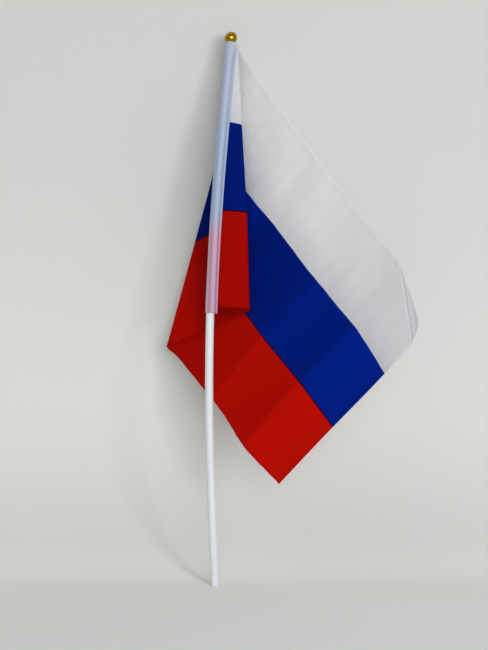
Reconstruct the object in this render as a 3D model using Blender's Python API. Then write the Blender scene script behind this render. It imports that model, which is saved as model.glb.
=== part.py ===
"""A small hand flag: printed cloth in white, blue and red, sewn to a white sleeve on a slim plastic stick.

Metres, +Z up along the stick. The origin is the middle of the stick's foot, +X points to the flag's free end
and the side that faces -Y is the front. The cloth hangs slack: it runs from the sleeve to a first fold, goes
back behind the stick to a second fold, and comes forward again as the main panel.
"""

import math

import bmesh
import bpy
import numpy as np

MM = 0.001

# Stick: a white plastic rod with a slight bow
STICK_LENGTH = 404.0 * MM
STICK_RADIUS = 3.0 * MM
STICK_TOP_X = 12.1 * MM
STICK_BOW = 9.2 * MM
FOOT_EDGE = 0.3 * MM

# Ball cap: a gilt dome on a short skirt that fits over the stick's top
CAP_RADIUS = 4.6 * MM
CAP_BASE_Z = 401.7 * MM
CAP_SKIRT = 2.9 * MM
CAP_SOCKET = 2.6 * MM
FIT = 0.3 * MM

# Sleeve: one strip folded round the stick, with a stitched tail at its right
SLEEVE_FOOT_Z = 204.4 * MM
SLEEVE_TOP_Z = 401.4 * MM
SLEEVE_THICK = 1.0 * MM
TAIL_REACH = 5.5 * MM
TAIL_BACK_Y = -0.4 * MM
TOP_DROP = 3.0 * MM
FOOT_DROP = 0.9 * MM

# Flag: the cut cloth, 200 mm along the hoist and 270 mm to the fly
CLOTH_HEIGHT = 199.1 * MM
CLOTH_THICK = 1.0 * MM
SEAM_REACH = 4.9 * MM
SEAM_BACK_Y = 0.5 * MM

# Rows of the draped cloth, from its top edge to its bottom edge. down is the share of the hoist below the top
# edge, at the borders between the colours. Then come the height of the cloth's edge at the seam and the places
# of the two folds, of two lines across the panel, of the packing crease and of the fly edge, as x, y, z in mm.
# round is half the length of cloth that each bend takes up.
COLUMNS = ("down", "round", "seam_z", "fold_1", "fold_2", "near", "mid", "crease", "fly")
ROWS = (
    (0.000, 2.2, 400.0, (18.6, 3.2, 399.4), (9.0, 13.5, 400.9), (55.0, -13.0, 345.4),
     (97.0, -42.0, 284.4), (130.0, -66.0, 238.4), (153.0, -81.0, 207.4)),
    (0.305, 4.0, 344.4, (21.5, 4.5, 342.4), (0.5, 33.0, 318.4), (34.0, 8.0, 288.4),
     (62.0, -19.0, 244.4), (103.5, -54.0, 199.9), (120.5, -74.0, 167.4)),
    (0.637, 5.0, 279.9, (26.0, 5.5, 278.4), (-18.0, 56.0, 255.4), (3.0, 36.0, 229.4),
     (21.5, 15.0, 202.4), (64.0, -20.0, 153.4), (85.0, -38.0, 125.4)),
    (1.000, 6.0, 208.9, (28.5, 8.0, 206.4), (-41.0, 76.0, 172.4), (-29.0, 68.0, 162.4),
     (-20.0, 60.0, 153.4), (23.5, 22.0, 96.9), (47.0, 4.0, 76.4)),
)

# The fly's top corner hangs back from a slanting crease
CORNER_ALONG = 48.0 * MM
CORNER_DOWN = 30.0 * MM
CORNER_ROUND = 4.0 * MM
CORNER_TURN = math.radians(72.0)

# Steps of the meshes
ROUND_SIDES = 24
STICK_LEVELS = 26
SLEEVE_LEVELS = 18
DOME_STEPS = 7
CLOTH_ROWS = 28
CLOTH_STEPS = (5, 16, 12, 6, 8, 8)
BEND_SAMPLES = 9


def clear_scene():
    """Takes away whatever the file holds, so that only the flag is left."""
    for old in list(bpy.data.objects):
        bpy.data.objects.remove(old, do_unlink=True)


def make_material(name, colour, roughness, metallic=0.0):
    """A Principled material of one linear colour."""
    material = bpy.data.materials.new(name)
    material.use_nodes = True
    shader = material.node_tree.nodes["Principled BSDF"]
    shader.inputs["Base Color"].default_value = (*colour, 1.0)
    shader.inputs["Roughness"].default_value = roughness
    shader.inputs["Metallic"].default_value = metallic
    return material


def place_object(name, mesh, material, sharp_angle=math.radians(40.0)):
    """Links a mesh as the object of that name, shaded smooth apart from its sharp edges."""
    mesh.materials.append(material)
    mesh.shade_smooth()
    mesh.set_sharp_from_angle(angle=sharp_angle)
    thing = bpy.data.objects.new(name, mesh)
    bpy.context.scene.collection.objects.link(thing)
    return thing


def centre_x(z):
    """Sideways place of the stick's centreline at height z: a straight lean less half a sine wave of bow."""
    lean = STICK_TOP_X / STICK_LENGTH
    return lean * z - STICK_BOW * np.sin(np.pi * z / STICK_LENGTH)


def circle(radius, sides=ROUND_SIDES):
    """Points of a circle round the centreline, as x and y offsets."""
    angles = np.arange(sides) * 2.0 * np.pi / sides
    return radius * np.stack([np.cos(angles), np.sin(angles)], axis=1)


def ring_on_stick(outline, z):
    """An outline carried level at height z on the centreline. z is one height or one for each point."""
    heights = np.full(len(outline), 1.0) * z
    x = outline[:, 0] + centre_x(heights)
    return np.stack([x, outline[:, 1], heights], axis=1)


def bridge_rings(name, rings, joined=False):
    """A mesh with quads between neighbouring rings. Its ends are closed flat, or joined to each other."""
    mesh = bpy.data.meshes.new(name)
    bm = bmesh.new()
    loops = [[bm.verts.new(point) for point in ring] for ring in rings]
    pairs = list(zip(loops, loops[1:] + loops[:1])) if joined else list(zip(loops, loops[1:]))
    for low, high in pairs:
        for i in range(len(low)):
            j = (i + 1) % len(low)
            bm.faces.new((low[i], low[j], high[j], high[i]))
    if not joined:
        bm.faces.new(list(reversed(loops[0])))
        bm.faces.new(loops[-1])
    bmesh.ops.recalc_face_normals(bm, faces=bm.faces)
    bm.to_mesh(mesh)
    bm.free()
    return mesh


def make_stick():
    """The rod: level circles from a flat foot with a broken edge to a flat top."""
    rings = [ring_on_stick(circle(STICK_RADIUS - FOOT_EDGE), 0.0)]
    for z in np.linspace(FOOT_EDGE, STICK_LENGTH, STICK_LEVELS):
        rings.append(ring_on_stick(circle(STICK_RADIUS), z))
    white_plastic = make_material("white_plastic", (0.75, 0.76, 0.78), 0.35)
    return place_object("staff", bridge_rings("staff", rings), white_plastic)


def make_cap():
    """The gilt cap: its socket's ceiling and wall, its rim, the skirt and the dome, turned round the centreline."""
    rim = 0.15 * MM
    profile = [
        (STICK_RADIUS + FIT, CAP_SOCKET),
        (STICK_RADIUS + FIT, 0.0),
        (CAP_RADIUS - rim, 0.0),
        (CAP_RADIUS, rim),
        (CAP_RADIUS, CAP_SKIRT),
    ]
    for step in range(1, DOME_STEPS + 1):
        angle = math.radians(84.0) * step / DOME_STEPS
        profile.append((CAP_RADIUS * math.cos(angle), CAP_SKIRT + CAP_RADIUS * math.sin(angle)))
    rings = [ring_on_stick(circle(radius), CAP_BASE_Z + height) for radius, height in profile]
    gilt = make_material("gilt_plastic", (0.55, 0.38, 0.06), 0.18, 1.0)
    return place_object("finial", bridge_rings("finial", rings), gilt)


def sleeve_outlines():
    """The sleeve's outer outline, a circle that runs out into the tail, and the bore that fits the stick."""
    bore = STICK_RADIUS + FIT
    outer = bore + SLEEVE_THICK
    tail_front_y = TAIL_BACK_Y - SLEEVE_THICK
    first = math.asin(TAIL_BACK_Y / outer)
    last = 2.0 * math.pi + math.asin(tail_front_y / outer)
    angles = np.linspace(first, last, ROUND_SIDES + 1)
    arc = outer * np.stack([np.cos(angles), np.sin(angles)], axis=1)
    tail = np.array([(TAIL_REACH, tail_front_y), (TAIL_REACH, TAIL_BACK_Y)])
    turn = 2.0 * math.pi + first - last
    bore_angles = np.concatenate([angles, last + turn * np.array([1.0, 2.0]) / 3.0])
    inner = bore * np.stack([np.cos(bore_angles), np.sin(bore_angles)], axis=1)
    return np.concatenate([arc, tail]), inner


def make_sleeve():
    """The folded strip: its outside from foot to top and its bore back down, cut lower at the tail."""
    outline, bore = sleeve_outlines()

    def level(points, share):
        slant = np.clip((points[:, 0] - 1.0 * MM) / (TAIL_REACH - 1.0 * MM), 0.0, 1.0)
        foot = SLEEVE_FOOT_Z - FOOT_DROP * slant
        top = SLEEVE_TOP_Z - TOP_DROP * slant
        return ring_on_stick(points, foot + share * (top - foot))

    shares = np.linspace(0.0, 1.0, SLEEVE_LEVELS)
    rings = [level(outline, share) for share in shares]
    rings += [level(bore, share) for share in reversed(shares)]
    white_cloth = make_material("white_sleeve_cloth", (0.45, 0.50, 0.60), 0.6)
    return place_object("sleeve", bridge_rings("sleeve", rings, joined=True), white_cloth)


def cubic_weights(knots, at):
    """Lagrange weights of the four rows at a share of the hoist: each is 1 at its own row and 0 at the rest."""
    weights = np.ones((len(at), len(knots)))
    for i, own in enumerate(knots):
        for other in knots:
            if other != own:
                weights[:, i] *= (at - other) / (own - other)
    return weights


def row_table():
    """The table as arrays: shares, bend lengths and the seven points of each row, the seam's among them."""
    rows = [dict(zip(COLUMNS, row)) for row in ROWS]
    down = np.array([row["down"] for row in rows])
    bend = np.array([row["round"] for row in rows]) * MM
    points = []
    for row in rows:
        seam_z = row["seam_z"] * MM
        seam = (float(centre_x(seam_z)) + SEAM_REACH, SEAM_BACK_Y, seam_z)
        rest = [tuple(value * MM for value in row[name]) for name in COLUMNS[3:]]
        points.append([seam, *rest])
    return down, bend, np.array(points)


def rounded_row(corners, bend):
    """Points along one row and their distance from the seam: the straight runs between its corners, with each
    place moved to the mean of the run over one bend length to either side, which rounds the corners."""
    runs = np.linalg.norm(np.diff(corners, axis=0), axis=1)
    reach = np.concatenate([[0.0], np.cumsum(runs)])
    at = [0.0]
    for start, end, steps in zip(reach, reach[1:], CLOTH_STEPS):
        at.extend(np.linspace(start, end, steps + 1)[1:])
    at = np.array(at)
    before = corners[0] - (corners[1] - corners[0]) / runs[0]
    after = corners[-1] + (corners[-1] - corners[-2]) / runs[-1]
    knots = np.concatenate([[-1.0], reach, [reach[-1] + 1.0]])
    line = np.concatenate([[before], corners, [after]])
    total = np.zeros((len(at), 3))
    for offset in np.linspace(-bend, bend, BEND_SAMPLES):
        total += np.stack([np.interp(at + offset, knots, line[:, axis]) for axis in range(3)], axis=1)
    return total / BEND_SAMPLES, at


def hang_corner(points, along, down):
    """Winds the cloth beyond the slanting crease at the fly's top corner back on a round, then straight on.
    along is the distance from the fly edge and down the distance from the top edge, both on the flat cloth."""
    beyond = 1.0 - along / CORNER_ALONG - down / CORNER_DOWN
    depth = CORNER_ALONG * CORNER_DOWN / math.hypot(CORNER_ALONG, CORNER_DOWN)
    distance = np.clip(beyond, 0.0, None) * depth
    on_top = np.argmin(np.abs(along[0] - CORNER_ALONG))
    on_fly = np.argmin(np.abs(down[:, -1] - CORNER_DOWN))
    axis = points[on_fly, -1] - points[0, on_top]
    axis /= np.linalg.norm(axis)
    outward = points[0, -1] - points[0, on_top]
    outward -= axis * outward.dot(axis)
    outward /= np.linalg.norm(outward)
    back = np.cross(outward, axis)
    back *= np.sign(back[1])
    turned = np.minimum(distance / CORNER_ROUND, CORNER_TURN)
    straight = distance - turned * CORNER_ROUND
    out = CORNER_ROUND * np.sin(turned) + straight * np.cos(turned)
    away = CORNER_ROUND * (1.0 - np.cos(turned)) + straight * np.sin(turned)
    return points + (out - distance)[..., None] * outward + away[..., None] * back


def cloth_surface():
    """The middle of the draped cloth as a grid of points, a row for each step down the hoist."""
    down, bend, table = row_table()
    shares = np.linspace(0.0, 1.0, CLOTH_ROWS + 1)
    weights = cubic_weights(down, shares)
    corners = np.einsum("vr,rcx->vcx", weights, table)
    bends = np.interp(shares, down, bend)
    rows = [rounded_row(row, size) for row, size in zip(corners, bends)]
    points = np.array([row for row, reach in rows])
    along = np.array([reach[-1] - reach for row, reach in rows])
    below = np.repeat(shares[:, None] * CLOTH_HEIGHT, points.shape[1], axis=1)
    return hang_corner(points, along, below)


def make_flag():
    """The printed cloth: the draped surface as a grid of quads, given its thickness to both sides."""
    grid = cloth_surface()
    rows, steps = grid.shape[:2]
    number = np.arange(rows * steps).reshape(rows, steps)
    faces = np.stack([number[:-1, :-1], number[1:, :-1], number[1:, 1:], number[:-1, 1:]], axis=-1)
    mesh = bpy.data.meshes.new("flag")
    mesh.from_pydata(grid.reshape(-1, 3).tolist(), [], faces.reshape(-1, 4).tolist())
    mesh.validate()
    printed = make_material("printed_cloth", (0.02, 0.03, 0.20), 0.6)
    flag = place_object("flag", mesh, printed)
    sheet = flag.modifiers.new("thickness", "SOLIDIFY")
    sheet.thickness = CLOTH_THICK
    sheet.offset = 0.0
    return flag


clear_scene()
make_stick()
make_cap()
make_sleeve()
make_flag()
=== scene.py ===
# %% [markdown]
# # A small hand flag on its stick
#
# The object is a hand flag about 40 cm tall: a slim white plastic stick with a gilt cap, a thin white sleeve
# pushed over its upper half, and a printed cloth in three bands, white, blue and red, sewn to the sleeve. The
# cloth hangs slack. It makes one narrow fold beside the stick, goes back behind it, turns again and comes
# forward as the large slanting panel that catches the light.
#
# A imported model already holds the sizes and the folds. This lesson keeps every piece where that model says
# and makes what the eye sees: thin cloth with hems and packing creases, the folded sleeve, the thread that
# holds both, and the plastics. All new shapes are numpy surfaces of two parameters.

# %% Loading the frame
import math

import bpy
import numpy as np
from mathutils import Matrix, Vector


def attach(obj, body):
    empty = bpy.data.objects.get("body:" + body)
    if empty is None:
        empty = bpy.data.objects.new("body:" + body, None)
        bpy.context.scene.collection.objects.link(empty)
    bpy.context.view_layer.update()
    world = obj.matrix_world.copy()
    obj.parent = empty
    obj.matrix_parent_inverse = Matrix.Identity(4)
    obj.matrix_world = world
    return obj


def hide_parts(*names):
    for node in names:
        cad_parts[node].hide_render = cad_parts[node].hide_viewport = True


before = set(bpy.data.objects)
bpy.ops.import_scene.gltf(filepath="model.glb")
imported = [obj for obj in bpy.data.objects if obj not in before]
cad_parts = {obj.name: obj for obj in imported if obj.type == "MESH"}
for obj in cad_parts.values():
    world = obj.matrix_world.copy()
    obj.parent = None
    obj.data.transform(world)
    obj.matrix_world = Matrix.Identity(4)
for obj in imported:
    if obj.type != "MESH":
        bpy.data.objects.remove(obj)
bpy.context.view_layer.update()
MM = 0.001
print("nodes of the model:", sorted(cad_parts))

# %% [markdown]
# ## The camera
#
# The picture is tall, 488 by 650, and shows the stick almost at right angles to its length, because its
# foot and its top look equally thick. A long lens from a little over a metre gives that flat look. The
# camera looks down by four degrees, so the floor shows in front of the foot. One picture point is 0.738 mm
# at the stick, and that number sets the lens.

# %% Placing the camera
PICTURE_HEIGHT = 650
POINT_SIZE = 0.738 * MM
CAMERA_DISTANCE = 1.1
CAMERA_DROP = math.radians(4.0)
AIM = np.array([21.8, 0.0, 195.2]) * MM

camera_data = bpy.data.cameras.new("picture_camera")
camera_data.sensor_width = 36.0
camera_data.lens = camera_data.sensor_width * CAMERA_DISTANCE / POINT_SIZE / PICTURE_HEIGHT
camera = bpy.data.objects.new("picture_camera", camera_data)
away = np.array([0.0, -math.cos(CAMERA_DROP), math.sin(CAMERA_DROP)])
camera.location = AIM + CAMERA_DISTANCE * away
camera.rotation_euler = (math.pi / 2.0 - CAMERA_DROP, 0.0, 0.0)
bpy.context.scene.collection.objects.link(camera)
bpy.context.scene.camera = camera
bpy.context.scene.view_settings.view_transform = "Standard"
print(f"lens {camera_data.lens:.1f} mm, camera at {[round(value, 3) for value in camera.location]}")

# %% [markdown]
# ## Helpers
#
# A few small helpers serve the whole lesson. The first turns an sRGB hex colour, as a painter would pick it
# from a chart, into the linear numbers that a shader works with. The next add a node, with its settings and
# links, and start a material. One eases from 0 to 1.

# %% Colours and nodes
def linear_colour(code):
    """sRGB hex to linear: a channel c gives c/12.92 up to 0.04045, else ((c + 0.055)/1.055) ** 2.4."""
    channels = [int(code[i:i + 2], 16) / 255.0 for i in (0, 2, 4)]
    return tuple(c / 12.92 if c <= 0.04045 else ((c + 0.055) / 1.055) ** 2.4 for c in channels) + (1.0,)


def add_node(tree, kind, inputs=None, **settings):
    """Adds a node, sets its properties, and gives each named input a value or another node's output."""
    node = tree.nodes.new(kind)
    for name, value in settings.items():
        setattr(node, name, value)
    for key, value in (inputs or {}).items():
        if isinstance(value, bpy.types.NodeSocket):
            tree.links.new(value, node.inputs[key])
        else:
            node.inputs[key].default_value = value
    return node


def new_material(name):
    """An empty node material with its output, returned as material, tree and output."""
    material = bpy.data.materials.new(name)
    material.use_nodes = True
    material.node_tree.nodes.clear()
    return material, material.node_tree, add_node(material.node_tree, "ShaderNodeOutputMaterial")


def smooth_step(value, low, high):
    """0 below low, 1 above high, and the cubic 3t^2 - 2t^3 between them."""
    t = np.clip((value - low) / (high - low), 0.0, 1.0)
    return t * t * (3.0 - 2.0 * t)


print("a pale grey, e4e4e1, in linear light:", [round(value, 3) for value in linear_colour("e4e4e1")[:3]])

# %% Grids of points to meshes
def piece_of(name, points, faces, uv=None):
    """A smooth object from points and faces, with one UV place for each point."""
    mesh = bpy.data.meshes.new(name)
    mesh.from_pydata(points.reshape(-1, 3).tolist(), [], faces)
    if uv is not None:
        corners = np.zeros(len(mesh.loops), np.int32)
        mesh.loops.foreach_get("vertex_index", corners)
        layer = mesh.uv_layers.new(name="cloth")
        layer.data.foreach_set("uv", uv.reshape(-1, 2)[corners].astype(np.float32).ravel())
    mesh.shade_smooth()
    mesh.update()
    piece = bpy.data.objects.new(name, mesh)
    bpy.context.scene.collection.objects.link(piece)
    return piece


def grid_piece(name, points, uv=None, round_across=False, caps=False):
    """A piece from points[row, step]: a quad between each four neighbours. round_across joins the last step
    to the first, and caps closes the first and last row with one flat face each."""
    rows, steps = points.shape[:2]
    number = np.arange(rows * steps).reshape(rows, steps)
    if round_across:
        number = np.concatenate([number, number[:, :1]], axis=1)
    quads = np.stack([number[:-1, :-1], number[:-1, 1:], number[1:, 1:], number[1:, :-1]], axis=-1)
    faces = quads.reshape(-1, 4).tolist()
    if caps:
        faces += [number[0, :steps][::-1].tolist(), number[-1, :steps].tolist()]
    return piece_of(name, points, faces, uv)


def finish_piece(piece, material, slot_name, *nodes):
    """Gives a piece its material, lets it ride on the body, and hides the model's nodes it stands for.
    slot_name is not used.
    """
    piece.data.materials.append(material)
    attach(piece, "root")
    if nodes:
        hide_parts(*nodes)
    print(f"{piece.name}: {len(piece.data.vertices)} points, {len(piece.data.polygons)} faces")


# %% [markdown]
# ## The stage
#
# A pale card stands for the studio: level under the foot, then bent up in a wide curve behind the flag, and
# leaning forward until it nearly meets the stick's top. So the stick throws a shadow that leaves the foot,
# wanders off and comes back at the top. The card is drawn only from its front, so that a view from behind
# still sees the flag, and a plain floor lies under it.

# %% Card and floor
CARD_CURVE = 0.11
CARD_LEAN = math.radians(19.0)
CARD_HALF_WIDTH = 2.4
CARD_FRONT = -2.6
CARD_TOP_RUN = 0.62
FLOOR_HALF = 3.0
FLOOR_DROP = 0.6 * MM


def card_profile():
    """The card's side outline as y and z: a level floor, an arc that turns past upright, a straight lean."""
    turns = np.linspace(0.0, math.pi / 2.0 + CARD_LEAN, 33)
    arc = CARD_CURVE * np.stack([np.sin(turns), 1.0 - np.cos(turns)], axis=1)
    floor = np.stack([np.linspace(CARD_FRONT, 0.0, 12)[:-1], np.zeros(11)], axis=1)
    ahead = np.array([-math.sin(CARD_LEAN), math.cos(CARD_LEAN)])
    lean = arc[-1] + np.linspace(0.0, CARD_TOP_RUN, 12)[1:, None] * ahead
    return np.concatenate([floor, arc, lean])


profile = card_profile()
across = np.linspace(-CARD_HALF_WIDTH, CARD_HALF_WIDTH, 9)
card_points = np.zeros((len(profile), len(across), 3))
card_points[..., 0] = across[None, :]
card_points[..., 1:] = profile[:, None, :]
card = grid_piece("card", card_points)
floor_x, floor_y = np.meshgrid([-FLOOR_HALF, FLOOR_HALF], [-FLOOR_HALF, FLOOR_HALF])
floor = grid_piece("floor", np.stack([floor_x, floor_y, np.full((2, 2), -FLOOR_DROP)], axis=-1))

# Matte white card: paper fibres scatter light evenly, so it has no shine, only a faint cloudiness. It has a
# soft grade from the floor to its top, which stands for the uneven light of a real room. Its levels were
# found by comparing renders with the picture.
GRADE_HEIGHT = 0.5
card_white, tree, output = new_material("matte_white_card")
place = add_node(tree, "ShaderNodeTexCoord")
cloud = add_node(tree, "ShaderNodeTexNoise", {"Vector": place.outputs["Object"], "Scale": 3.0, "Detail": 2.0})
tint = add_node(
    tree, "ShaderNodeMix",
    {"Factor": cloud.outputs["Fac"], "A": linear_colour("eff2ec"), "B": linear_colour("f3f5f2")},
    data_type="RGBA",
)
height = add_node(tree, "ShaderNodeSeparateXYZ", {"Vector": place.outputs["Object"]})
share_up = add_node(tree, "ShaderNodeMapRange", {"Value": height.outputs["Z"], "From Max": GRADE_HEIGHT})
grade = add_node(tree, "ShaderNodeValToRGB", {"Fac": share_up.outputs["Result"]})
grade.color_ramp.interpolation = "B_SPLINE"
grade.color_ramp.elements[0].color = (0.91, 0.91, 0.91, 1.0)
grade.color_ramp.elements[1].color = (0.71, 0.71, 0.71, 1.0)
for share, level in ((0.04, 0.78), (0.11, 0.82), (0.20, 0.86), (0.32, 0.88), (0.48, 0.82), (0.66, 0.77)):
    grade.color_ramp.elements.new(share).color = (level, level, level, 1.0)
graded = add_node(
    tree, "ShaderNodeMix", {"Factor": 1.0, "A": tint.outputs["Result"], "B": grade.outputs["Color"]},
    data_type="RGBA", blend_type="MULTIPLY",
)
paper = add_node(tree, "ShaderNodeBsdfDiffuse", {"Color": graded.outputs["Result"], "Roughness": 0.5})
behind = add_node(tree, "ShaderNodeNewGeometry")
clear = add_node(tree, "ShaderNodeBsdfTransparent")
one_side = add_node(
    tree, "ShaderNodeMixShader",
    {0: behind.outputs["Backfacing"], 1: paper.outputs["BSDF"], 2: clear.outputs["BSDF"]},
)
tree.links.new(one_side.outputs["Shader"], output.inputs["Surface"])
card.data.materials.append(card_white)
floor.data.materials.append(card_white)
print(f"card: {len(profile)} rows, leans {math.degrees(CARD_LEAN):.0f} degrees")

# %% [markdown]
# ## The light
#
# The main light comes from in front, low and a little to the right, so the upright card is brighter than the
# floor and most of the shadow hides behind the flag. It is a sun lamp with a very wide disc: its shadows are
# soft, and it lights the whole floor equally, where a strong lamp nearby would burn out the floor beside it.
# The faint shadow of the stick falls to the left and hardly drops, so a small softbox stands about 33 degrees
# to the right and 12 above. In a view from behind, the floor in front of that one shows as a brighter band.
# The room glows dimly all round.

# %% Lamps and surroundings
def softbox(name, place, width, height, power, colour):
    """A flat lamp of that size at place, in metres, turned to face the middle of the flag."""
    lamp_data = bpy.data.lights.new(name, "AREA")
    lamp_data.shape = "RECTANGLE"
    lamp_data.size = width
    lamp_data.size_y = height
    lamp_data.energy = power
    lamp_data.color = linear_colour(colour)[:3]
    lamp = bpy.data.objects.new(name, lamp_data)
    lamp.location = place
    direction = lamp.location.copy()
    direction.x -= AIM[0]
    direction.z -= AIM[2]
    lamp.rotation_euler = direction.to_track_quat("Z", "Y").to_euler()
    bpy.context.scene.collection.objects.link(lamp)
    print(f"{name}: {power} W at {place}")


def far_light(name, direction, angle, strength, colour):
    """A round light in that direction, as wide as that angle and equally strong everywhere, like the sun."""
    lamp_data = bpy.data.lights.new(name, "SUN")
    lamp_data.angle = angle
    lamp_data.energy = strength
    lamp_data.color = linear_colour(colour)[:3]
    lamp = bpy.data.objects.new(name, lamp_data)
    lamp.rotation_euler = Vector(direction).to_track_quat("Z", "Y").to_euler()
    bpy.context.scene.collection.objects.link(lamp)
    print(f"{name}: {strength} W per square metre, {math.degrees(angle):.0f} degrees wide")


softbox("right_softbox", (0.80, -1.23, 0.51), 0.24, 0.24, 4.3, "fbf9ff")
far_light("front_light", (0.26, -1.28, 0.10), math.radians(40.0), 1.87, "fcfaff")

world = bpy.data.worlds.new("pale_room")
world.use_nodes = True
world.node_tree.nodes["Background"].inputs["Color"].default_value = linear_colour("f3f6f3")
world.node_tree.nodes["Background"].inputs["Strength"].default_value = 0.44
bpy.context.scene.world = world

# %% [markdown]
# ## The stick
#
# The stick is extruded white plastic, 6 mm across and about 40 cm long. It is slightly bowed: a straight lean
# less half a sine wave. The shape is a circle carried along that line, so the surface has two parameters,
# the height and the angle. The foot is cut flat with its edge rubbed round.

# %% The bowed line
STICK_LENGTH = 404.0 * MM
STICK_RADIUS = 3.0 * MM
STICK_TOP_X = 12.1 * MM
STICK_BOW = 9.2 * MM


def centre_x(z):
    """Sideways place of the stick's centreline at height z: a straight lean less half a sine wave of bow."""
    return STICK_TOP_X / STICK_LENGTH * z - STICK_BOW * np.sin(np.pi * z / STICK_LENGTH)


def turned_on_line(radii, heights, sides):
    """Level circles on the centreline: the point at angle a is its centre + radius * (cos a, sin a)."""
    angles = np.arange(sides) * 2.0 * np.pi / sides
    points = np.zeros((len(radii), sides, 3))
    points[..., 0] = centre_x(heights)[:, None] + radii[:, None] * np.cos(angles)
    points[..., 1] = radii[:, None] * np.sin(angles)
    points[..., 2] = heights[:, None]
    return points


FOOT_ROUND = 0.3 * MM
STICK_SIDES = 64
foot_turns = np.linspace(0.0, math.pi / 2.0, 5)
foot_radii = STICK_RADIUS - FOOT_ROUND * (1.0 - np.sin(foot_turns))
foot_heights = FOOT_ROUND * (1.0 - np.cos(foot_turns))
shaft_heights = np.linspace(foot_heights[-1], STICK_LENGTH, 90)[1:]
stick_radii = np.concatenate([foot_radii, np.full(len(shaft_heights), STICK_RADIUS)])
stick_heights = np.concatenate([foot_heights, shaft_heights])
stick_points = turned_on_line(stick_radii, stick_heights, STICK_SIDES)
stick = grid_piece("stick", stick_points, round_across=True, caps=True)
print(f"stick bows {STICK_BOW / MM} mm to the left")

# %% [markdown]
# Extruded white plastic, like the polypropylene of cheap sticks, has a satin skin with fine draw lines along
# its length from the die, and faint dull patches where hands held it. The draw lines are noise stretched
# along the stick, about 0.3 mm wide round it. They are bump, too fine to be shape. Light goes a millimetre or
# two into such plastic before it comes back, which softens the shade on its sides.

# %% Extruded white plastic
stick_plastic, tree, output = new_material("extruded_white_plastic")
place = add_node(tree, "ShaderNodeTexCoord")
stretched = add_node(
    tree, "ShaderNodeMapping", {"Vector": place.outputs["Object"], "Scale": (3300.0, 3300.0, 60.0)}
)
lines = add_node(
    tree, "ShaderNodeTexNoise", {"Vector": stretched.outputs["Vector"], "Scale": 1.0, "Detail": 3.0}
)
patches = add_node(
    tree, "ShaderNodeTexNoise", {"Vector": place.outputs["Object"], "Scale": 70.0, "Detail": 4.0}
)
skin = add_node(
    tree, "ShaderNodeMix",
    {"Factor": patches.outputs["Fac"], "A": linear_colour("e0e5e8"), "B": linear_colour("e7ebee")},
    data_type="RGBA",
)
dull = add_node(
    tree, "ShaderNodeMapRange",
    {"Value": patches.outputs["Fac"], "From Min": 0.3, "From Max": 0.7, "To Min": 0.32, "To Max": 0.46},
)
grain = add_node(
    tree, "ShaderNodeBump", {"Height": lines.outputs["Fac"], "Strength": 0.25, "Distance": 0.05 * MM}
)
surface = add_node(
    tree, "ShaderNodeBsdfPrincipled",
    {"Base Color": skin.outputs["Result"], "Roughness": dull.outputs["Result"],
     "Normal": grain.outputs["Normal"], "IOR": 1.49, "Subsurface Weight": 0.6,
     "Subsurface Radius": (1.0, 1.0, 1.0), "Subsurface Scale": 1.6 * MM},
)
tree.links.new(surface.outputs["BSDF"], output.inputs["Surface"])
finish_piece(stick, stick_plastic, "stick", "staff")

# %% [markdown]
# ## The gilt cap
#
# The cap is moulded plastic with a thin bright metal coat under yellow lacquer. It is a dome on a short
# skirt, pushed over the stick's top. The skirt draws in towards its rim, where the sleeve grips it. The cap
# is turned like the stick: a profile of radii and heights swept round the same line.

# %% The cap's profile
CAP_RADIUS = 4.6 * MM
CAP_BASE = 401.7 * MM
CAP_SKIRT = 2.9 * MM
CAP_SOCKET = 2.6 * MM
CAP_BORE = STICK_RADIUS + 0.3 * MM
CAP_NECK = 3.95 * MM
CAP_SIDES = 72


def cap_profile():
    """Radii and heights: down the socket's side, round the rim, up the drawn-in skirt and over the dome."""
    bead = 0.3 * MM
    rim_turns = np.linspace(-math.pi / 2.0, 0.0, 6)
    rim = [(CAP_NECK - bead + bead * math.cos(t), bead + bead * math.sin(t)) for t in rim_turns]
    rise = np.linspace(0.0, 1.0, 9)[1:-1]
    swell = [(CAP_NECK + (CAP_RADIUS - CAP_NECK) * math.sin(math.pi / 2.0 * t), bead + (CAP_SKIRT - bead) * t)
             for t in rise]
    dome_turns = np.linspace(0.0, math.radians(88.0), 24)
    dome = [(CAP_RADIUS * math.cos(t), CAP_SKIRT + CAP_RADIUS * math.sin(t)) for t in dome_turns]
    socket = [(CAP_BORE * 0.5, CAP_SOCKET), (CAP_BORE, CAP_SOCKET), (CAP_BORE, 0.2 * MM)]
    return np.array(socket + rim + swell + dome)


cap_outline = cap_profile()
cap_points = turned_on_line(cap_outline[:, 0], CAP_BASE + cap_outline[:, 1], CAP_SIDES)
cap = grid_piece("gilt_cap", cap_points, round_across=True, caps=True)
print(f"cap: {len(cap_outline)} rings")

# Vacuum-metallised plastic: a mirror coat of aluminium under yellow lacquer. It reflects the room in gold,
# with a slight orange peel from the lacquer and dull rubbed spots that scatter the light a little more.
gilt, tree, output = new_material("vacuum_metallised_gilt_plastic")
place = add_node(tree, "ShaderNodeTexCoord")
rubbed = add_node(
    tree, "ShaderNodeTexNoise", {"Vector": place.outputs["Object"], "Scale": 450.0, "Detail": 3.0}
)
lacquer = add_node(
    tree, "ShaderNodeMix",
    {"Factor": rubbed.outputs["Fac"], "A": linear_colour("a88214"), "B": linear_colour("c29c32")},
    data_type="RGBA",
)
polish = add_node(
    tree, "ShaderNodeMapRange",
    {"Value": rubbed.outputs["Fac"], "From Min": 0.35, "From Max": 0.75, "To Min": 0.08, "To Max": 0.22},
)
peel = add_node(
    tree, "ShaderNodeTexNoise", {"Vector": place.outputs["Object"], "Scale": 900.0, "Detail": 1.0}
)
ripple = add_node(
    tree, "ShaderNodeBump", {"Height": peel.outputs["Fac"], "Strength": 0.3, "Distance": 0.06 * MM}
)
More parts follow.
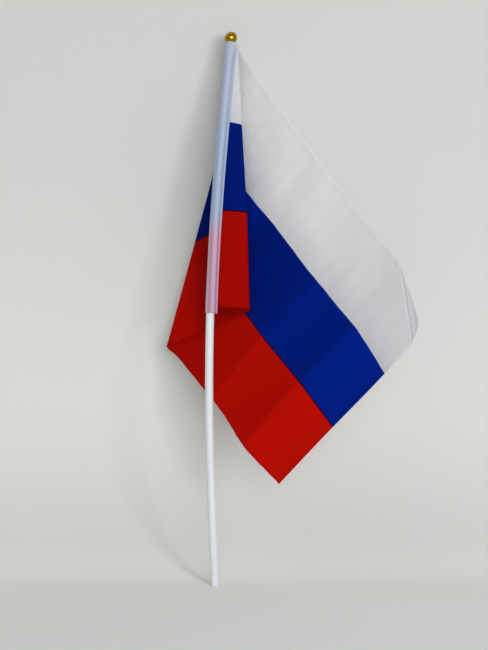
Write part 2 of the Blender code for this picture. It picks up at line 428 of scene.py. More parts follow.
surface = add_node(
    tree, "ShaderNodeBsdfPrincipled",
    {"Base Color": lacquer.outputs["Result"], "Metallic": 1.0, "Roughness": polish.outputs["Result"],
     "Normal": ripple.outputs["Normal"]},
)
tree.links.new(surface.outputs["BSDF"], output.inputs["Surface"])
finish_piece(cap, gilt, "gilt", "finial")

# %% [markdown]
# ## The cloth's folds
#
# The cloth is cut 271 mm long and 199 mm high. Four rows describe how it hangs: its top edge, the border
# between white and blue, the border between blue and red, and its bottom edge. Each row says where the cloth
# passes its two folds, its three packing creases and the free edge. The cloth runs straight from corner to
# corner along a row, and straight from row to row. Both ways its corners are rounded, by moving every point
# to the mean of its neighbourhood.

# %% Rows of the draped cloth
CLOTH_LENGTH = 271.0 * MM
CLOTH_HEIGHT = 199.1 * MM
SEWN_IN = 3.7 * MM
SEAM_REACH = 4.9 * MM
SEAM_BACK = 0.5 * MM

COLUMNS = ("down", "round", "seam_z", "fold_1", "fold_2", "crease_3", "crease_2", "crease_1", "fly")
ROWS = (
    (0.000, 2.2, 400.0, (18.6, 3.2, 399.4), (14.0, 13.5, 401.4), (75.0, -26.5, 315.5),
     (111.5, -52.0, 267.0), (132.0, -67.5, 239.0), (153.5, -81.0, 207.5)),
    (0.305, 4.0, 344.4, (21.5, 4.5, 342.4), (1.2, 33.0, 318.4), (40.6, -1.0, 273.0),
     (75.6, -31.5, 228.5), (101.4, -56.0, 196.5), (119.0, -74.0, 166.5)),
    (0.637, 5.0, 279.9, (26.0, 5.5, 278.4), (-17.2, 56.0, 255.4), (5.8, 34.0, 226.5),
     (40.0, 1.0, 183.0), (65.3, -21.0, 152.5), (85.6, -38.0, 125.0)),
    (1.000, 6.0, 208.9, (28.5, 8.0, 206.4), (-41.0, 76.0, 172.4), (-31.0, 69.0, 166.2),
     (1.4, 44.5, 132.8), (23.4, 23.0, 99.8), (47.8, 4.0, 76.0)),
)
CLOTH_ROWS = 150
CLOTH_STEPS = (3, 14, 48, 56, 42, 34, 42)
FOLD_2_STEP = sum(CLOTH_STEPS[:3])
ROW_ROUND = 0.09
BEND_SAMPLES = 17


def row_table():
    """The table as arrays: shares, bend lengths and eight points a row, the first two inside the sleeve."""
    rows = [dict(zip(COLUMNS, row)) for row in ROWS]
    down = np.array([row["down"] for row in rows])
    bend = np.array([row["round"] for row in rows]) * MM
    points = []
    for row in rows:
        seam_z = row["seam_z"] * MM
        sewn = [(float(centre_x(seam_z)) + offset, SEAM_BACK, seam_z) for offset in (SEWN_IN, SEAM_REACH)]
        points.append([*sewn, *[tuple(value * MM for value in row[name]) for name in COLUMNS[3:]]])
    return down, bend, np.array(points)


def row_weights(knots, at):
    """How much each of the four rows counts at a share of the height: straight from row to row, as the mean
    over a short way up and down, which shrinks to nothing at the edges."""
    reach = np.minimum(ROW_ROUND, np.minimum(at, 1.0 - at))
    places = at + np.linspace(-1.0, 1.0, BEND_SAMPLES)[:, None] * reach
    return np.stack([np.interp(places, knots, own).mean(axis=0) for own in np.eye(len(knots))], axis=1)


def rounded_row(corners, bend):
    """Points along one row and their distance from its start: each point is the mean of the straight runs
    over one bend length to either side, which rounds the corners."""
    runs = np.linalg.norm(np.diff(corners, axis=0), axis=1)
    reach = np.concatenate([[0.0], np.cumsum(runs)])
    pieces = [np.linspace(a, b, n + 1)[1:] for a, b, n in zip(reach, reach[1:], CLOTH_STEPS)]
    at = np.concatenate([[0.0], *pieces])
    before = corners[0] - (corners[1] - corners[0]) / runs[0]
    after = corners[-1] + (corners[-1] - corners[-2]) / runs[-1]
    knots = np.concatenate([[-1.0], reach, [reach[-1] + 1.0]])
    line = np.concatenate([[before], corners, [after]])
    offsets = np.linspace(-bend, bend, BEND_SAMPLES)
    places = at[None, :] + offsets[:, None]
    return np.stack([np.interp(places, knots, line[:, k]).mean(axis=0) for k in range(3)], axis=1), at


def hanging_cloth():
    """The plain folds: points[row, step], and each one's distance from the seam and from the top edge."""
    down, bend, table = row_table()
    shares = np.linspace(0.0, 1.0, CLOTH_ROWS + 1)
    corners = np.einsum("vr,rcx->vcx", row_weights(down, shares), table)
    bends = np.interp(shares, down, bend)
    rows = [rounded_row(row, size) for row, size in zip(corners, bends)]
    points = np.array([row for row, reach in rows])
    along = np.array([reach / reach[-1] for row, reach in rows]) * CLOTH_LENGTH
    below = np.repeat(shares[:, None] * CLOTH_HEIGHT, points.shape[1], axis=1)
    return points, along, below


cloth_points, cloth_along, cloth_below = hanging_cloth()
print("cloth grid:", cloth_points.shape[:2])

# %% [markdown]
# ## Creases, ripples and the hanging corner
#
# The flag was packed rolled flat round its stick, and that left creases parallel to the free edge, about
# 42, 86 and 150 mm from it. Between creases each strip of cloth is nearly flat and tilts its own way, so the
# panel's tone changes in steps. A zigzag of straight slopes, rounded at the creases, gives that, and small
# waves lie over it. At the second fold the cloth is never pressed flat: its two layers stand a little apart.

# %% Creases and ripples
CREASE_PLACES = np.array([0.0, 42.0, 86.0, 150.0, 215.0]) * MM
CREASE_HEIGHTS = np.array([0.0, 1.0, 2.4, 0.3, 0.0]) * MM
CREASE_ROUND = 1.6 * MM
RIPPLES = (
    {"length": 33.0 * MM, "slant": 0.10, "height": 0.20 * MM, "start": 0.6},
    {"length": 13.0 * MM, "slant": -0.12, "height": 0.13 * MM, "start": 2.1},
    {"length": 52.0 * MM, "slant": 0.50, "height": 0.34 * MM, "start": 4.0},
)
RELIEF_BEGINS = (8.0 * MM, 45.0 * MM)
FOLD_OPEN = 0.9 * MM
FOLD_TIP = 4.0 * MM
FOLD_REACH = 16.0 * MM


def front_normals(points):
    """Unit normals of a grid, towards the viewer on the panel: the cross product of its two differences."""
    normals = np.cross(np.gradient(points, axis=0), np.gradient(points, axis=1))
    return normals / np.linalg.norm(normals, axis=2, keepdims=True)


def relief(along, below, past_fold):
    """Height over the plain folds: the zigzag, as its mean over a short run, and the waves, each a sine of
    the distance from the free edge with a slant. Both begin past the second fold. On either side of that
    fold the layers are moved apart by a bell curve that is nothing at the fold's own tip."""
    from_fly = CLOTH_LENGTH - along
    offsets = np.linspace(-CREASE_ROUND, CREASE_ROUND, BEND_SAMPLES)
    zigzags = [np.interp(from_fly + offset, CREASE_PLACES, CREASE_HEIGHTS) for offset in offsets]
    height = np.mean(zigzags, axis=0)
    for ripple in RIPPLES:
        phase = 2.0 * np.pi * (from_fly + ripple["slant"] * below) / ripple["length"] + ripple["start"]
        height += ripple["height"] * np.sin(phase) * (0.65 + 0.35 * np.sin(below / (29.0 * MM)))
    apart = smooth_step(np.abs(past_fold), 0.0, FOLD_TIP) * np.exp(-((past_fold / FOLD_REACH) ** 2))
    return height * smooth_step(past_fold, *RELIEF_BEGINS) - FOLD_OPEN * apart


cloth_past_fold = cloth_along - cloth_along[:, FOLD_2_STEP:FOLD_2_STEP + 1]
cloth_relief = relief(cloth_along, cloth_below, cloth_past_fold)
cloth_points = cloth_points + cloth_relief[..., None] * front_normals(cloth_points)
print(f"relief from {cloth_relief.min() / MM:.2f} to {cloth_relief.max() / MM:.2f} mm")

# %% [markdown]
# The top corner of the free edge hangs back. Beyond a slanting crease the cloth turns sharply back, eases
# a little towards the viewer again and falls away at its tip, as a limp corner does. So the crease shows as a
# crest, and the corner shows beyond it as a narrow grey strip.

# %% The corner that hangs back
CORNER_ALONG = 46.0 * MM
CORNER_DOWN = 30.0 * MM
TURN_PLACES = np.array([0.0, 2.0, 5.0, 11.0, 16.0, 27.0]) * MM
TURN_ANGLES = np.radians([0.0, 89.0, 85.0, 64.0, 79.0, 88.0])
PATH_SAMPLES = 271


def corner_path():
    """Distance past the crease, and how far out and back the cloth has come: the turn's angle is read from
    the table, and the way out and back are the running sums of its cosine and sine."""
    distance = np.linspace(0.0, TURN_PLACES[-1], PATH_SAMPLES)
    angle = np.interp(distance, TURN_PLACES, TURN_ANGLES)
    step = distance[1]
    way = np.stack([np.cos(angle), np.sin(angle)]) * step
    out, back = np.cumsum(way, axis=1) - way[:, :1]
    return distance, out, back


def hang_corner(points, from_fly, below):
    """Leads the cloth beyond the slanting crease along the corner's path, square to the crease."""
    beyond = 1.0 - from_fly / CORNER_ALONG - below / CORNER_DOWN
    depth = CORNER_ALONG * CORNER_DOWN / math.hypot(CORNER_ALONG, CORNER_DOWN)
    distance = np.clip(beyond, 0.0, None) * depth
    on_top = np.argmin(np.abs(from_fly[0] - CORNER_ALONG))
    on_fly = np.argmin(np.abs(below[:, -1] - CORNER_DOWN))
    axis = points[on_fly, -1] - points[0, on_top]
    axis /= np.linalg.norm(axis)
    outward = points[0, -1] - points[0, on_top]
    outward -= axis * outward.dot(axis)
    outward /= np.linalg.norm(outward)
    backward = np.cross(outward, axis)
    backward *= np.sign(backward[1])
    path_distance, path_out, path_back = corner_path()
    out = np.interp(distance, path_distance, path_out)
    back = np.interp(distance, path_distance, path_back)
    return points + (out - distance)[..., None] * outward + back[..., None] * backward


cloth_points = hang_corner(cloth_points, CLOTH_LENGTH - cloth_along, cloth_below)
print("corner turned by", np.degrees(TURN_ANGLES).round().tolist(), "degrees")

# %% [markdown]
# ## The cloth as a thin sheet
#
# Real flag polyester is about 0.15 mm thick, and its hems are three layers of it. The grid becomes a sheet
# with a Solidify modifier whose thickness follows a vertex group: full in the hems, about half inside. Its UV
# map is the flat cloth itself, at one scale both ways, so a thread runs true over every fold.

# %% The sheet and its hems
HEM_WIDTH = 3.2 * MM
HEM_STEP = 0.25 * MM
SHEET_THICK = 0.26 * MM
HEM_THICK = 0.60 * MM
UV_SPAN = 280.0 * MM

cloth_uv = np.stack([cloth_along, CLOTH_HEIGHT - cloth_below], axis=-1) / UV_SPAN
flag = grid_piece("flag_cloth", cloth_points, uv=cloth_uv)
edge = np.minimum(np.minimum(cloth_below, CLOTH_HEIGHT - cloth_below), CLOTH_LENGTH - cloth_along)
in_hem = 1.0 / (1.0 + np.exp((edge - HEM_WIDTH) / HEM_STEP))
thickness = SHEET_THICK / HEM_THICK + (1.0 - SHEET_THICK / HEM_THICK) * in_hem
group = flag.vertex_groups.new(name="thickness")
for number, weight in enumerate(thickness.ravel()):
    group.add([number], float(weight), "REPLACE")
sheet = flag.modifiers.new("cloth_thickness", "SOLIDIFY")
sheet.thickness = HEM_THICK
sheet.offset = 0.0
sheet.vertex_group = "thickness"
print(f"hems {HEM_WIDTH / MM} mm wide, {int(in_hem.round().sum())} points in them")

# %% [markdown]
# Printed polyester: a plain weave of fine bright threads, dyed right through by heat transfer, so both sides
# look alike. The three bands meet at sharp borders, and where blue and red overlap a thin dark line shows.
# The threads are drawn 1.4 mm apart, several times as coarse as real ones, so that they show at all. The
# cloth is so thin that about half of the light on it comes out of its other side. Light passes both faces of
# the sheet, so each face lets through the square root of the ink's colour.
#
# Each strip between two creases has its own tone. That may partly be real, from threads pressed flat in the
# pack that lie a little differently. The rest stands for light that these few lamps don't give: the panel
# takes light from the pale card behind it, and a fold that lies on other layers takes less. The levels were
# found by comparing renders with the picture.

# %% Flat coordinates and bands
printed, tree, output = new_material("printed_polyester")
RED_HEIGHT = (1.0 - 0.637) * CLOTH_HEIGHT
BLUE_TOP = (1.0 - 0.305) * CLOTH_HEIGHT
INK_EDGE = 0.12 * MM
OVERLAP = 0.9 * MM

flat = add_node(tree, "ShaderNodeUVMap", uv_map="cloth")
real = add_node(tree, "ShaderNodeVectorMath", {0: flat.outputs["UV"], "Scale": UV_SPAN}, operation="SCALE")
axes = add_node(tree, "ShaderNodeSeparateXYZ", {"Vector": real.outputs["Vector"]})
mottle = add_node(
    tree, "ShaderNodeTexNoise", {"Vector": real.outputs["Vector"], "Scale": 260.0, "Detail": 5.0}
)
share_along = add_node(tree, "ShaderNodeMapRange", {"Value": axes.outputs["X"], "From Max": CLOTH_LENGTH})


def ramp_along(stops):
    """A colour ramp over the distance from the seam in mm, with a grey level at each stop."""
    ramp = add_node(tree, "ShaderNodeValToRGB", {"Fac": share_along.outputs["Result"]})
    while len(ramp.color_ramp.elements) < len(stops):
        ramp.color_ramp.elements.new(0.5)
    for stop, (distance, level) in zip(ramp.color_ramp.elements, stops):
        stop.position = distance * MM / CLOTH_LENGTH
        stop.color = (level, level, level, 1.0)
    return ramp


# The darkest level is 0 and the lightest 1: first the two layers beside the stick, then the panel's strips.
strips = ramp_along([(0, 0.12), (22, 0.30), (34, 0.0), (80, 0.24), (96, 0.74), (114, 0.70), (123, 0.26),
                     (184, 0.38), (187, 0.64), (228, 0.36), (231, 0.72), (248, 0.80), (271, 0.70)])
tone = add_node(
    tree, "ShaderNodeMath", {0: mottle.outputs["Fac"], 1: 0.12, 2: strips.outputs["Color"]},
    operation="MULTIPLY_ADD",
)
# Painted shade on the white: greyer at the seam and at the free end.
painted_white_shade = ramp_along([(0, 0.55), (26, 0.55), (50, 0.0), (150, 0.0), (190, 0.3), (228, 0.62), (271, 0.62)])
over_blue = add_node(
    tree, "ShaderNodeMapRange",
    {"Value": axes.outputs["Y"], "From Min": BLUE_TOP - INK_EDGE, "From Max": BLUE_TOP + INK_EDGE},
)
over_red = add_node(
    tree, "ShaderNodeMapRange",
    {"Value": axes.outputs["Y"], "From Min": RED_HEIGHT - INK_EDGE, "From Max": RED_HEIGHT + INK_EDGE},
)
near_red = add_node(
    tree, "ShaderNodeMath", {0: axes.outputs["Y"], 1: RED_HEIGHT, 2: OVERLAP / 2.0}, operation="COMPARE"
)
print(f"red up to {RED_HEIGHT / MM:.1f} mm, blue up to {BLUE_TOP / MM:.1f} mm above the bottom edge")

# %% [markdown]
# The white is the cloth's own. It is drawn a little greyer at the seam, at the free end and just above the
# blue: that grey is painted shade, for light that these few lamps don't give. The corner that hangs back is
# painted greyer too, with a dark line where it bends away: painted shade, as it turns from the light and its
# hems let little through. These tones too were found by comparing renders with the picture.

# %% Inks
fibre_white = add_node(
    tree, "ShaderNodeMix",
    {"Factor": mottle.outputs["Fac"], "A": linear_colour("f6f6f7"), "B": linear_colour("fbfbfb")},
    data_type="RGBA",
)
white_shaded_at_ends = add_node(
    tree, "ShaderNodeMix",
    {"Factor": painted_white_shade.outputs["Color"], "A": fibre_white.outputs["Result"], "B": linear_colour("dedee1")},
    data_type="RGBA",
)
# Painted shade on the white, greyer just above the blue band.
near_blue = add_node(
    tree, "ShaderNodeMapRange",
    {"Value": axes.outputs["Y"], "From Min": BLUE_TOP, "From Max": BLUE_TOP + 24.0 * MM, "To Min": 0.4,
     "To Max": 0.0},
)
white_shaded_above_blue = add_node(
    tree, "ShaderNodeMix",
    {"Factor": near_blue.outputs["Result"], "A": white_shaded_at_ends.outputs["Result"], "B": linear_colour("d4d6de")},
    data_type="RGBA",
)
towards_corner = add_node(
    tree, "ShaderNodeVectorMath",
    {0: real.outputs["Vector"], 1: (1.0 / CORNER_ALONG, 1.0 / CORNER_DOWN, 0.0)},
    operation="DOT_PRODUCT",
)
CORNER_SUM = CLOTH_LENGTH / CORNER_ALONG + CLOTH_HEIGHT / CORNER_DOWN
share_of_corner = add_node(
    tree, "ShaderNodeMapRange",
    {"Value": towards_corner.outputs["Value"], "From Min": CORNER_SUM - 1.0, "From Max": CORNER_SUM},
)
corner_shade = add_node(tree, "ShaderNodeValToRGB", {"Fac": share_of_corner.outputs["Result"]})
corner_shade.color_ramp.elements[0].position = 0.03
corner_shade.color_ramp.elements[0].color = (1.0, 1.0, 1.0, 1.0)
for place_in_corner, level in ((0.08, 0.74), (0.16, 0.97), (0.45, 1.0), (0.75, 0.92)):
    corner_shade.color_ramp.elements.new(place_in_corner).color = (level, level, level, 1.0)
corner_shade.color_ramp.elements[-1].color = (0.80, 0.80, 0.80, 1.0)
white_ink = add_node(
    tree, "ShaderNodeMix",
    {"Factor": 1.0, "A": white_shaded_above_blue.outputs["Result"], "B": corner_shade.outputs["Color"]},
    data_type="RGBA", blend_type="MULTIPLY",
)
blue_ink = add_node(
    tree, "ShaderNodeMix",
    {"Factor": tone.outputs["Value"], "A": linear_colour("001c78"), "B": linear_colour("002eb0")},
    data_type="RGBA",
)
red_ink = add_node(
    tree, "ShaderNodeMix",
    {"Factor": tone.outputs["Value"], "A": linear_colour("b40d03"), "B": linear_colour("ea1806")},
    data_type="RGBA",
)
upper = add_node(
    tree, "ShaderNodeMix",
    {"Factor": over_blue.outputs["Result"], "A": blue_ink.outputs["Result"],
     "B": white_ink.outputs["Result"]},
    data_type="RGBA",
)
bands = add_node(
    tree, "ShaderNodeMix",
    {"Factor": over_red.outputs["Result"], "A": red_ink.outputs["Result"], "B": upper.outputs["Result"]},
    data_type="RGBA",
)
inks = add_node(
    tree, "ShaderNodeMix",
    {"Factor": near_red.outputs["Value"], "A": bands.outputs["Result"], "B": linear_colour("1c0418")},
    data_type="RGBA",
)
print("inks mixed:", inks.name)

# %% Weave and surface
THREAD = 1.4 * MM
warp = add_node(
    tree, "ShaderNodeMath", {0: axes.outputs["X"], 1: 2.0 * math.pi / THREAD}, operation="MULTIPLY"
)
weft = add_node(
    tree, "ShaderNodeMath", {0: axes.outputs["Y"], 1: 2.0 * math.pi / THREAD}, operation="MULTIPLY"
)
warp_wave = add_node(tree, "ShaderNodeMath", {0: warp.outputs["Value"]}, operation="SINE")
weft_wave = add_node(tree, "ShaderNodeMath", {0: weft.outputs["Value"]}, operation="SINE")
weave = add_node(
    tree, "ShaderNodeMath", {0: warp_wave.outputs["Value"], 1: weft_wave.outputs["Value"]},
    operation="MULTIPLY",
)
crumple = add_node(
    tree, "ShaderNodeTexNoise", {"Vector": real.outputs["Vector"], "Scale": 85.0, "Detail": 3.0}
)
threads = add_node(
    tree, "ShaderNodeBump", {"Height": weave.outputs["Value"], "Strength": 0.15, "Distance": 0.05 * MM}
)
wrinkles = add_node(
    tree, "ShaderNodeBump",
    {"Height": crumple.outputs["Fac"], "Strength": 0.55, "Distance": 1.1 * MM,
     "Normal": threads.outputs["Normal"]},
)
soft = add_node(
    tree, "ShaderNodeMapRange",
    {"Value": mottle.outputs["Fac"], "From Min": 0.3, "From Max": 0.7, "To Min": 0.62, "To Max": 0.74},
)
surface = add_node(
    tree, "ShaderNodeBsdfPrincipled",
    {"Base Color": inks.outputs["Result"], "Roughness": soft.outputs["Result"],
     "Normal": wrinkles.outputs["Normal"], "Specular IOR Level": 0.03},
)
half_way = add_node(tree, "ShaderNodeGamma", {"Color": inks.outputs["Result"], "Gamma": 0.5})
glow = add_node(
    tree, "ShaderNodeBsdfTranslucent",
    {"Color": half_way.outputs["Color"], "Normal": wrinkles.outputs["Normal"]},
)
SHARE_LET_THROUGH = 0.55
thin = add_node(
    tree, "ShaderNodeMixShader", {0: SHARE_LET_THROUGH, 1: surface.outputs["BSDF"], 2: glow.outputs["BSDF"]}
)
tree.links.new(thin.outputs["Shader"], output.inputs["Surface"])
finish_piece(flag, printed, "printed_cloth", "flag")

# %% [markdown]
# ## Stitches
#
# One lockstitch row holds the hems and another joins cloth and sleeve. Each stitch is a short tube of thread
# that dips into the cloth at both ends. All stitches of a row are made at once: their middles lie at equal
# steps on a line over the cloth, and round each middle stand rings of six points.

# %% A row of stitches
STITCH_PITCH = 2.8 * MM
STITCH_LENGTH = 2.2 * MM
THREAD_RADIUS = 0.13 * MM
STITCH_RINGS, STITCH_SIDES = 5, 6


def stitches_on(line, normals, lift, uv_line):
    """Points[stitch, ring, side] and UVs of a row: a stitch is an arc of sine over its length, lifted off the
    cloth along the normal, with rings of thread round it that narrow towards both ends."""
    run = np.concatenate([[0.0], np.cumsum(np.linalg.norm(np.diff(line, axis=0), axis=1))])
    count = int((run[-1] - STITCH_PITCH) / STITCH_PITCH)
    middles = STITCH_PITCH * (0.75 + np.arange(count))
    share = np.linspace(-0.5, 0.5, STITCH_RINGS)
    places = middles[:, None] + share[None, :] * STITCH_LENGTH
    centres = np.stack([np.interp(places, run, line[:, k]) for k in range(3)], axis=-1)
    up = np.stack([np.interp(places, run, normals[:, k]) for k in range(3)], axis=-1)
    up /= np.linalg.norm(up, axis=-1, keepdims=True)
    forward = np.gradient(centres, axis=1)
    forward /= np.linalg.norm(forward, axis=-1, keepdims=True)
    side = np.cross(forward, up)
    arch = lift + THREAD_RADIUS * (1.1 * np.cos(np.pi * share) - 0.6)
    centres = centres + arch[None, :, None] * up
    angles = np.arange(STITCH_SIDES) * 2.0 * np.pi / STITCH_SIDES
    radius = THREAD_RADIUS * (0.55 + 0.45 * np.cos(np.pi * share))[None, :, None, None]
    ring = np.cos(angles)[:, None] * side[:, :, None, :] + np.sin(angles)[:, None] * up[:, :, None, :]
    uv = np.stack([np.interp(places, run, uv_line[:, k]) for k in range(2)], axis=-1)
    return centres[:, :, None, :] + radius * ring, np.repeat(uv[:, :, None, :], STITCH_SIDES, axis=2)


def stitch_piece(name, rows):
    """One piece from rows of stitches: quads round each tube and a flat face on each end."""
    points = np.concatenate([row[0] for row in rows])
    uv = np.concatenate([row[1] for row in rows])
    number = np.arange(points.shape[0] * STITCH_RINGS * STITCH_SIDES).reshape(-1, STITCH_RINGS, STITCH_SIDES)
    turned = np.roll(number, -1, axis=2)
    quads = np.stack([number[:, :-1], turned[:, :-1], turned[:, 1:], number[:, 1:]], axis=-1).reshape(-1, 4)
    faces = quads[:, ::-1].tolist() + number[:, 0].tolist() + number[:, -1, ::-1].tolist()
    return piece_of(name, points, faces, uv)


print(f"stitches {STITCH_LENGTH / MM} mm long, every {STITCH_PITCH / MM} mm")

# %% Hem stitches
HEM_STITCH = 2.3 * MM


def line_below(distance):
    """Points, normals and UVs of the cloth's line at that distance below the top edge."""
    row = distance / CLOTH_HEIGHT * CLOTH_ROWS
    low = int(row)
    part = row - low
    grids = (cloth_points, cloth_normals, cloth_uv)
    return [(1.0 - part) * grid[low] + part * grid[low + 1] for grid in grids]


def line_from_fly(distance):
    """Points, normals and UVs of the cloth's line at that distance from the free edge."""
    at = CLOTH_LENGTH - distance
    grids = (cloth_points, cloth_normals, cloth_uv)
    rows = range(cloth_along.shape[0])
    return [np.array([[np.interp(at, cloth_along[r], grid[r, :, k]) for k in range(grid.shape[2])]
                      for r in rows]) for grid in grids]


cloth_normals = front_normals(cloth_points)
CLEAR_OF_ENDS = slice(4, -3)
hem_rows = []
for lines_there in (
    line_below(HEM_STITCH), line_below(CLOTH_HEIGHT - HEM_STITCH), line_from_fly(HEM_STITCH)
):
    line, normals, uv_line = [values[CLEAR_OF_ENDS] for values in lines_there]
    for side in (1.0, -1.0):
        hem_rows.append(stitches_on(line, side * normals, HEM_THICK / 2.0, uv_line))
hem_thread = stitch_piece("hem_stitches", hem_rows)
# The thread was printed together with the cloth, so it takes the band's colour from its place on the cloth.
finish_piece(hem_thread, printed, "printed_cloth")

# %% [markdown]
# ## The sleeve
#
# The sleeve is one strip of thin white cloth, folded round the stick and sewn to the flag's edge with one row
# of stitches, so it has a front flap and a back flap with the flag between them. Its outline, seen from
# above, starts at the front flap's edge, runs back to the stick, round it and out to the other flap. Where
# the flap leaves the stick there is a valley: near the top it is pinched close to the stick, further down it
# is slack. At the very top the sleeve is stretched over the cap's skirt and its front lip stands highest.

# %% The folded strip
SLEEVE_FOOT = 204.4 * MM
SLEEVE_TOP = 402.0 * MM
SLEEVE_THICK = 0.22 * MM
SLEEVE_RING = 3.32 * MM
CAP_RING = 4.22 * MM
LIP_FALL = 1.1
FLAP_REACH = 5.15 * MM
FLAP_FRONT, FLAP_BACK = -0.05 * MM, 1.05 * MM
FOOT_DROP = 0.9 * MM
WIDENS_OVER_CAP = (389.0 * MM, 399.5 * MM)
VALLEY_NARROWS = (215.0 * MM, 330.0 * MM)
SLEEVE_ROWS = 190
LOW_ROW = 20
FLAP_STEPS, RING_STEPS = 16, 84


def sleeve_outline(ring_size, leave):
    """Offsets from the stick's centre for one row: the flaps run from their edges to the ring, and their
    distance from the middle plane grows with the power 2.3 of the way, which leaves a valley at the ring."""
    ring_angles = np.linspace(-leave, -2.0 * math.pi + leave, RING_STEPS)
    ring = ring_size * np.stack([np.cos(ring_angles), np.sin(ring_angles)], axis=1)
    way = np.linspace(0.0, 1.0, FLAP_STEPS + 1)[:-1]
    flaps = []
    for start, y in ((ring[0], FLAP_FRONT), (ring[-1], FLAP_BACK)):
        flap_x = FLAP_REACH + (start[0] - FLAP_REACH) * way
        flap_y = y + (start[1] - y) * way ** 2.3
        flaps.append(np.stack([flap_x, flap_y], axis=1))
    return np.concatenate([flaps[0], ring, flaps[1][::-1]])


def sleeve_surface():
    """The outline carried up the line. Its looseness is a sum of slow waves along and round the stick."""
    heights = np.linspace(SLEEVE_FOOT, SLEEVE_TOP, SLEEVE_ROWS)
    on_cap = smooth_step(heights, *WIDENS_OVER_CAP)
    sizes = SLEEVE_RING + (CAP_RING - SLEEVE_RING) * on_cap
    high = smooth_step(heights, *VALLEY_NARROWS)
    leaves = np.radians(17.0 + 26.0 * high - 20.0 * on_cap)
    outline = np.array([sleeve_outline(size, leave) for size, leave in zip(sizes, leaves)])
    offset_x, offset_y = outline[..., 0], outline[..., 1]
    slant = smooth_step(offset_x, 1.0 * MM, FLAP_REACH)
    front = smooth_step(-offset_y, -2.5 * MM, 2.5 * MM)
    beside = np.clip(-2.6 * MM - offset_x, 0.0, None)
    towards_flap = np.clip(offset_x - 0.6 * MM, 0.0, None)
    top = SLEEVE_TOP - LIP_FALL * towards_flap - 0.9 * beside - 1.2 * MM * (1.0 - front) * (1.0 - slant)
    foot = SLEEVE_FOOT - FOOT_DROP * slant
    way = ((heights - SLEEVE_FOOT) / (SLEEVE_TOP - SLEEVE_FOOT))[:, None]
    z = foot + (top - foot) * way
    angle = np.arctan2(offset_y, offset_x)
    waves = 0.07 * np.sin(z / (23.0 * MM) + 2.0 * angle) + 0.05 * np.sin(z / (9.0 * MM) - 3.0 * angle)
    loose = 1.0 + (waves + 0.12) * MM / SLEEVE_RING * (1.0 - slant) * (1.0 - on_cap[:, None])
    points = np.stack([centre_x(z) + offset_x * loose, offset_y * loose, z], axis=-1)
    run = np.concatenate([[0.0], np.cumsum(np.linalg.norm(np.diff(outline[LOW_ROW], axis=0), axis=1))])
    uv = np.stack([np.broadcast_to(run, z.shape), z - SLEEVE_FOOT + FOOT_DROP], axis=-1) / UV_SPAN
    return points, uv, outline[LOW_ROW], run


sleeve_points, sleeve_uv, low_outline, low_run = sleeve_surface()
sleeve = grid_piece("pole_sleeve", sleeve_points, uv=sleeve_uv)
strip = sleeve.modifiers.new("cloth_thickness", "SOLIDIFY")
strip.thickness = SLEEVE_THICK
strip.offset = 0.0
print(f"strip {low_run[-1] / MM:.1f} mm wide")

# %% [markdown]
# Thin white polyester again, but so sheer that what lies behind it tints it: bluish over the blue band, pink
# over the red one. The sleeve here isn't see-through, so the tint is part of its colour. It is strongest in
# two streaks, one left of the crest and one in the valley beside the flap, where two layers lie close. The
# deep colour is darker too, and in the valley that darkness is painted shade. The streaks are a colour ramp
# over the distance across the strip, and the pink fades to blue with the height.

# %% Sheer white polyester
sheer, tree, output = new_material("sheer_white_polyester")


def run_at(offset):
    """Distance across the strip, from the front flap's edge, at a sideways offset from the stick's centre."""
    front = slice(0, FLAP_STEPS + RING_STEPS // 2)
    return float(np.interp(-offset, -low_outline[front, 0], low_run[front]))


flat = add_node(tree, "ShaderNodeUVMap", uv_map="cloth")
real = add_node(tree, "ShaderNodeVectorMath", {0: flat.outputs["UV"], "Scale": UV_SPAN}, operation="SCALE")
axes = add_node(tree, "ShaderNodeSeparateXYZ", {"Vector": real.outputs["Vector"]})
share_across = add_node(
    tree, "ShaderNodeMapRange", {"Value": axes.outputs["X"], "From Max": float(low_run[-1])}
)
tint_and_shade_streaks = add_node(tree, "ShaderNodeValToRGB", {"Fac": share_across.outputs["Result"]})
# The stop 3.5 mm right of the centre lies in the valley: its deeper, darker colour there is painted shade.
stops = [(5.1, 0.45), (4.2, 0.75), (3.5, 0.95), (2.9, 0.35), (1.8, 0.2), (0.4, 0.50), (-0.9, 0.9),
         (-2.0, 0.45), (-3.0, 0.0)]
tint_and_shade_streaks.color_ramp.elements[0].color = (0.45, 0.45, 0.45, 1.0)
tint_and_shade_streaks.color_ramp.elements[1].color = (0.45, 0.45, 0.45, 1.0)
for offset, strength in stops:
    stop = tint_and_shade_streaks.color_ramp.elements.new(run_at(offset * MM) / float(low_run[-1]))
    stop.color = (strength, strength, strength, 1.0)
print("streak stops:", [round(stop.position, 2) for stop in tint_and_shade_streaks.color_ramp.elements])

# %% Tints up the sleeve
above_red = add_node(
    tree, "ShaderNodeMapRange",
    {"Value": axes.outputs["Y"], "From Min": 55.0 * MM, "From Max": 76.0 * MM},
    interpolation_type="SMOOTHSTEP",
)
above_blue = add_node(
    tree, "ShaderNodeMapRange",
    {"Value": axes.outputs["Y"], "From Min": 128.0 * MM, "From Max": 165.0 * MM},
    interpolation_type="SMOOTHSTEP",
)
clean_blue = add_node(
    tree, "ShaderNodeMix",
    {"Factor": above_blue.outputs["Result"], "A": linear_colour("aab9cd"), "B": linear_colour("b0b7ca")},
    data_type="RGBA",
)
clean = add_node(
    tree, "ShaderNodeMix",
    {"Factor": above_red.outputs["Result"], "A": linear_colour("c6bbd4"), "B": clean_blue.outputs["Result"]},
    data_type="RGBA",
)
deep_blue = add_node(
    tree, "ShaderNodeMix",
    {"Factor": above_blue.outputs["Result"], "A": linear_colour("889ab8"), "B": linear_colour("9da5ba")},
    data_type="RGBA",
)
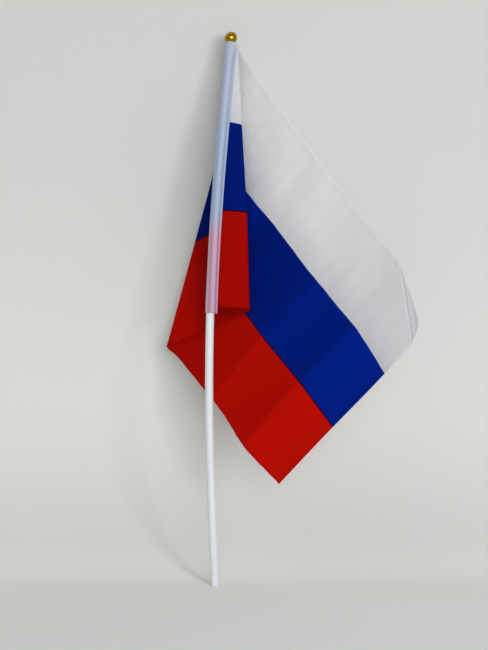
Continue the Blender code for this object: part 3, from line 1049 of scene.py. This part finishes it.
deep = add_node(
    tree, "ShaderNodeMix",
    {"Factor": above_red.outputs["Result"], "A": linear_colour("b86b79"), "B": deep_blue.outputs["Result"]},
    data_type="RGBA",
)
tinted_and_shaded = add_node(
    tree, "ShaderNodeMix",
    {"Factor": tint_and_shade_streaks.outputs["Color"], "A": clean.outputs["Result"], "B": deep.outputs["Result"]},
    data_type="RGBA",
)
mottle = add_node(
    tree, "ShaderNodeTexNoise", {"Vector": real.outputs["Vector"], "Scale": 300.0, "Detail": 4.0}
)
threads = add_node(
    tree, "ShaderNodeBump", {"Height": mottle.outputs["Fac"], "Strength": 0.2, "Distance": 0.06 * MM}
)
surface = add_node(
    tree, "ShaderNodeBsdfPrincipled",
    {"Base Color": tinted_and_shaded.outputs["Result"], "Roughness": 0.6, "Normal": threads.outputs["Normal"],
     "Specular IOR Level": 0.2},
)
tree.links.new(surface.outputs["BSDF"], output.inputs["Surface"])
finish_piece(sleeve, sheer, "sleeve", "sleeve")

# %% [markdown]
# The seam's stitches pass through both flaps and the flag between them, about a millimetre inside the flap's
# edge. The thread is thicker than the hem's, of spun white polyester with a dull twist.

# %% Seam stitches
SEAM_TOP = 397.5 * MM
SEAM_STITCH = 4.25 * MM
seam_z = np.linspace(SLEEVE_FOOT, SEAM_TOP, 90)
seam_rows = []
for flap_y, side in ((FLAP_FRONT, -1.0), (FLAP_BACK, 1.0)):
    seam_line = np.stack([centre_x(seam_z) + SEAM_STITCH, np.full(len(seam_z), flap_y), seam_z], axis=1)
    seam_normals = np.tile([0.0, side, 0.0], (len(seam_z), 1))
    seam_uv = np.stack([np.zeros(len(seam_z)), seam_z], axis=1) / UV_SPAN
    seam_rows.append(stitches_on(seam_line, seam_normals, SLEEVE_THICK / 2.0, seam_uv))
seam_thread = stitch_piece("seam_stitches", seam_rows)

spun, tree, output = new_material("spun_polyester_thread")
flat = add_node(tree, "ShaderNodeUVMap", uv_map="cloth")
twist = add_node(tree, "ShaderNodeTexNoise", {"Vector": flat.outputs["UV"], "Scale": 700.0, "Detail": 2.0})
fibre = add_node(
    tree, "ShaderNodeMix",
    {"Factor": twist.outputs["Fac"], "A": linear_colour("c2cade"), "B": linear_colour("d8dcea")},
    data_type="RGBA",
)
surface = add_node(
    tree, "ShaderNodeBsdfPrincipled",
    {"Base Color": fibre.outputs["Result"], "Roughness": 0.75, "Specular IOR Level": 0.2},
)
tree.links.new(surface.outputs["BSDF"], output.inputs["Surface"])
finish_piece(seam_thread, spun, "sleeve")
